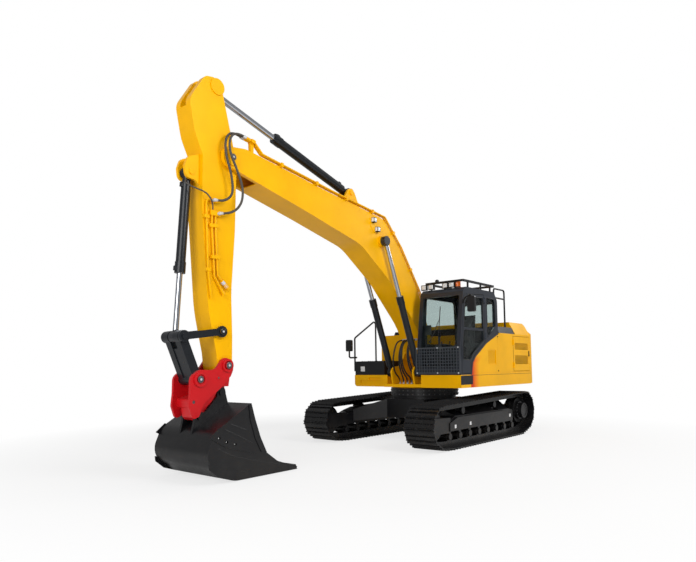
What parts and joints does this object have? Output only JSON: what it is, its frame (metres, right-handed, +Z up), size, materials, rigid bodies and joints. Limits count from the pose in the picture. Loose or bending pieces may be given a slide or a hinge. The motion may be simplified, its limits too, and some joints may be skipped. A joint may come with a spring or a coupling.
{
  "type": "crawler excavator",
  "caption": "Hydraulic crawler excavator with a slewing upper, cab, boom, arm, bucket linkage and a curved bucket on a quick coupler; stands on two steel tracks.",
  "frame": {"origin": "middle of the whole machine's box, on the ground under the tracks", "axes": "+X forwards to the bucket, +Y to the machine's left, +Z up"},
  "size_m": [8.8598, 3.27, 5.495],
  "materials": {
    "chassis_black": "satin black chassis paint",
    "track_steel": "black coated steel",
    "body_yellow": "gloss yellow paint",
    "trim_black": "satin black paint",
    "engine_iron": "bare casting",
    "cab_grey": "satin dark grey paint",
    "window_glass": "clear tinted glass",
    "lamp_clear": "clear lens in a grey shell",
    "beacon_amber": "amber lens",
    "seat_fabric": "woven black fabric",
    "cab_plastic": "grained dark plastic",
    "cylinder_black": "satin dark grey paint",
    "rod_chrome": "hard chrome",
    "linkage_black": "satin dark grey paint",
    "coupler_red": "gloss red paint",
    "bucket_black": "satin black paint",
    "hose_rubber": "braided rubber hose"
  },
  "bodies": {
    "undercarriage": {"car_body": "chassis_black", "swing_bearing": "chassis_black", "track_frame_left": "chassis_black", "track_frame_right": "chassis_black", "track_left": "track_steel", "track_right": "track_steel", "rollers_left": "chassis_black", "rollers_right": "chassis_black", "idlers": "chassis_black", "sprockets": "chassis_black"},
    "upper": {"main_frame": "body_yellow", "platform_left": "body_yellow", "platform_right": "body_yellow", "front_box": "trim_black", "tank": "body_yellow", "rear_housing": "body_yellow", "air_box": "trim_black", "exhaust": "trim_black", "engine_block": "engine_iron", "counterweight": "body_yellow", "cab_shell": "cab_grey", "cab_glass": "window_glass", "mesh_guard": "trim_black", "roof_rack": "trim_black", "roof_lamps": "lamp_clear", "beacon": "beacon_amber", "handrails": "trim_black", "mirrors": "trim_black", "seat": "seat_fabric", "consoles": "cab_plastic"},
    "cab_door": {"cab_door": "cab_grey", "door_glass": "window_glass"},
    "side_door_left": {"side_door_left": "body_yellow"},
    "side_door_right": {"side_door_right": "body_yellow"},
    "engine_hood": {"engine_hood": "body_yellow"},
    "boom": {"boom": "body_yellow", "boom_pipes": "body_yellow", "boom_lamps": "lamp_clear", "arm_hose_inner": "hose_rubber", "arm_hose_outer": "hose_rubber"},
    "arm": {"arm": "body_yellow", "arm_pipes": "body_yellow"},
    "boom_barrels": {"boom_barrels": "cylinder_black"},
    "boom_rods": {"boom_rods": "rod_chrome"},
    "arm_barrel": {"arm_barrel": "cylinder_black"},
    "arm_rod": {"arm_rod": "rod_chrome"},
    "bucket_barrel": {"bucket_barrel": "cylinder_black"},
    "bucket_rod": {"bucket_rod": "rod_chrome"},
    "rockers": {"rockers": "linkage_black"},
    "bucket_link": {"bucket_link": "linkage_black"},
    "bucket": {"coupler": "coupler_red", "bucket": "bucket_black"}
  },
  "joints": [
    {"name": "swing", "type": "hinge", "parent": "undercarriage", "child": "upper", "pos_m": [-1.58, 0, 1], "axis": [0, 0, 1], "continuous": true},
    {"name": "boom_lift", "type": "hinge", "parent": "upper", "child": "boom", "pos_m": [-1.45, 0, 1.75], "axis": [0, -1, 0], "range_deg": [-67, 29]},
    {"name": "arm_crowd", "type": "hinge", "parent": "boom", "child": "arm", "pos_m": [3.61, 0, 4.41], "axis": [0, 1, 0], "range_deg": [-64, 31]},
    {"name": "bucket_curl", "type": "hinge", "parent": "arm", "child": "bucket", "pos_m": [3.67, 0, 1.49], "axis": [0, 1, 0], "range_deg": [-74, 90]},
    {"name": "boom_barrel_pivot", "type": "hinge", "parent": "upper", "child": "boom_barrels", "pos_m": [-0.88, 0, 1.33], "axis": [0, -1, 0], "range_deg": [-69.51, 30.37]},
    {"name": "boom_rod_slide", "type": "slide", "parent": "boom_barrels", "child": "boom_rods", "axis": [0.3857, 0, 0.9226], "range_m": [-0.739, 0.323]},
    {"name": "arm_barrel_pivot", "type": "hinge", "parent": "boom", "child": "arm_barrel", "pos_m": [0.84, 0, 4.57], "axis": [0, 1, 0], "range_deg": [-4.79, 2.58]},
    {"name": "arm_rod_slide", "type": "slide", "parent": "arm_barrel", "child": "arm_rod", "axis": [0.965, 0, 0.2623], "range_m": [-1.021, 0.497]},
    {"name": "rocker_pivot", "type": "hinge", "parent": "arm", "child": "rockers", "pos_m": [3.75, 0, 1.95], "axis": [0, 1, 0], "range_deg": [-53.78, 65.3]},
    {"name": "link_pivot", "type": "hinge", "parent": "rockers", "child": "bucket_link", "pos_m": [4.35, 0, 1.87], "axis": [0, 1, 0], "range_deg": [-50.9, 41.94]},
    {"name": "bucket_barrel_pivot", "type": "hinge", "parent": "arm", "child": "bucket_barrel", "pos_m": [4.19, 0, 4.09], "axis": [0, 1, 0], "range_deg": [-4.57, 5.45]},
    {"name": "bucket_rod_slide", "type": "slide", "parent": "bucket_barrel", "child": "bucket_rod", "axis": [0.0719, 0, -0.9974], "range_m": [-0.488, 0.593]},
    {"name": "cab_door_hinge", "type": "hinge", "parent": "upper", "child": "cab_door", "pos_m": [-1.707, 1.3575, 2], "axis": [0, 0, 1], "range_deg": [0, 160]},
    {"name": "side_door_left_hinge", "type": "hinge", "parent": "upper", "child": "side_door_left", "pos_m": [-2.98592, 1.3575, 1.7], "axis": [0, 0, -1], "range_deg": [0, 100]},
    {"name": "side_door_right_hinge", "type": "hinge", "parent": "upper", "child": "side_door_right", "pos_m": [-2.98592, -1.3575, 1.7], "axis": [0, 0, 1], "range_deg": [0, 100]},
    {"name": "engine_hood_hinge", "type": "hinge", "parent": "upper", "child": "engine_hood", "pos_m": [-3.1744, 0, 2.3925], "axis": [0, 1, 0], "range_deg": [0, 60]}
  ],
  "couplings": [
    {"joint": "boom_barrel_pivot", "follows": "boom_lift", "ratio": 1.03},
    {"joint": "boom_rod_slide", "follows": "boom_lift", "m_per_rad": 0.62739},
    {"joint": "arm_barrel_pivot", "follows": "arm_crowd", "ratio": 0.067},
    {"joint": "arm_rod_slide", "follows": "arm_crowd", "m_per_rad": 0.90928},
    {"joint": "rocker_pivot", "follows": "bucket_curl", "ratio": 0.72},
    {"joint": "link_pivot", "follows": "bucket_curl", "ratio": -0.56},
    {"joint": "bucket_barrel_pivot", "follows": "bucket_curl", "ratio": 0.055},
    {"joint": "bucket_rod_slide", "follows": "bucket_curl", "m_per_rad": 0.37414}
  ]
}
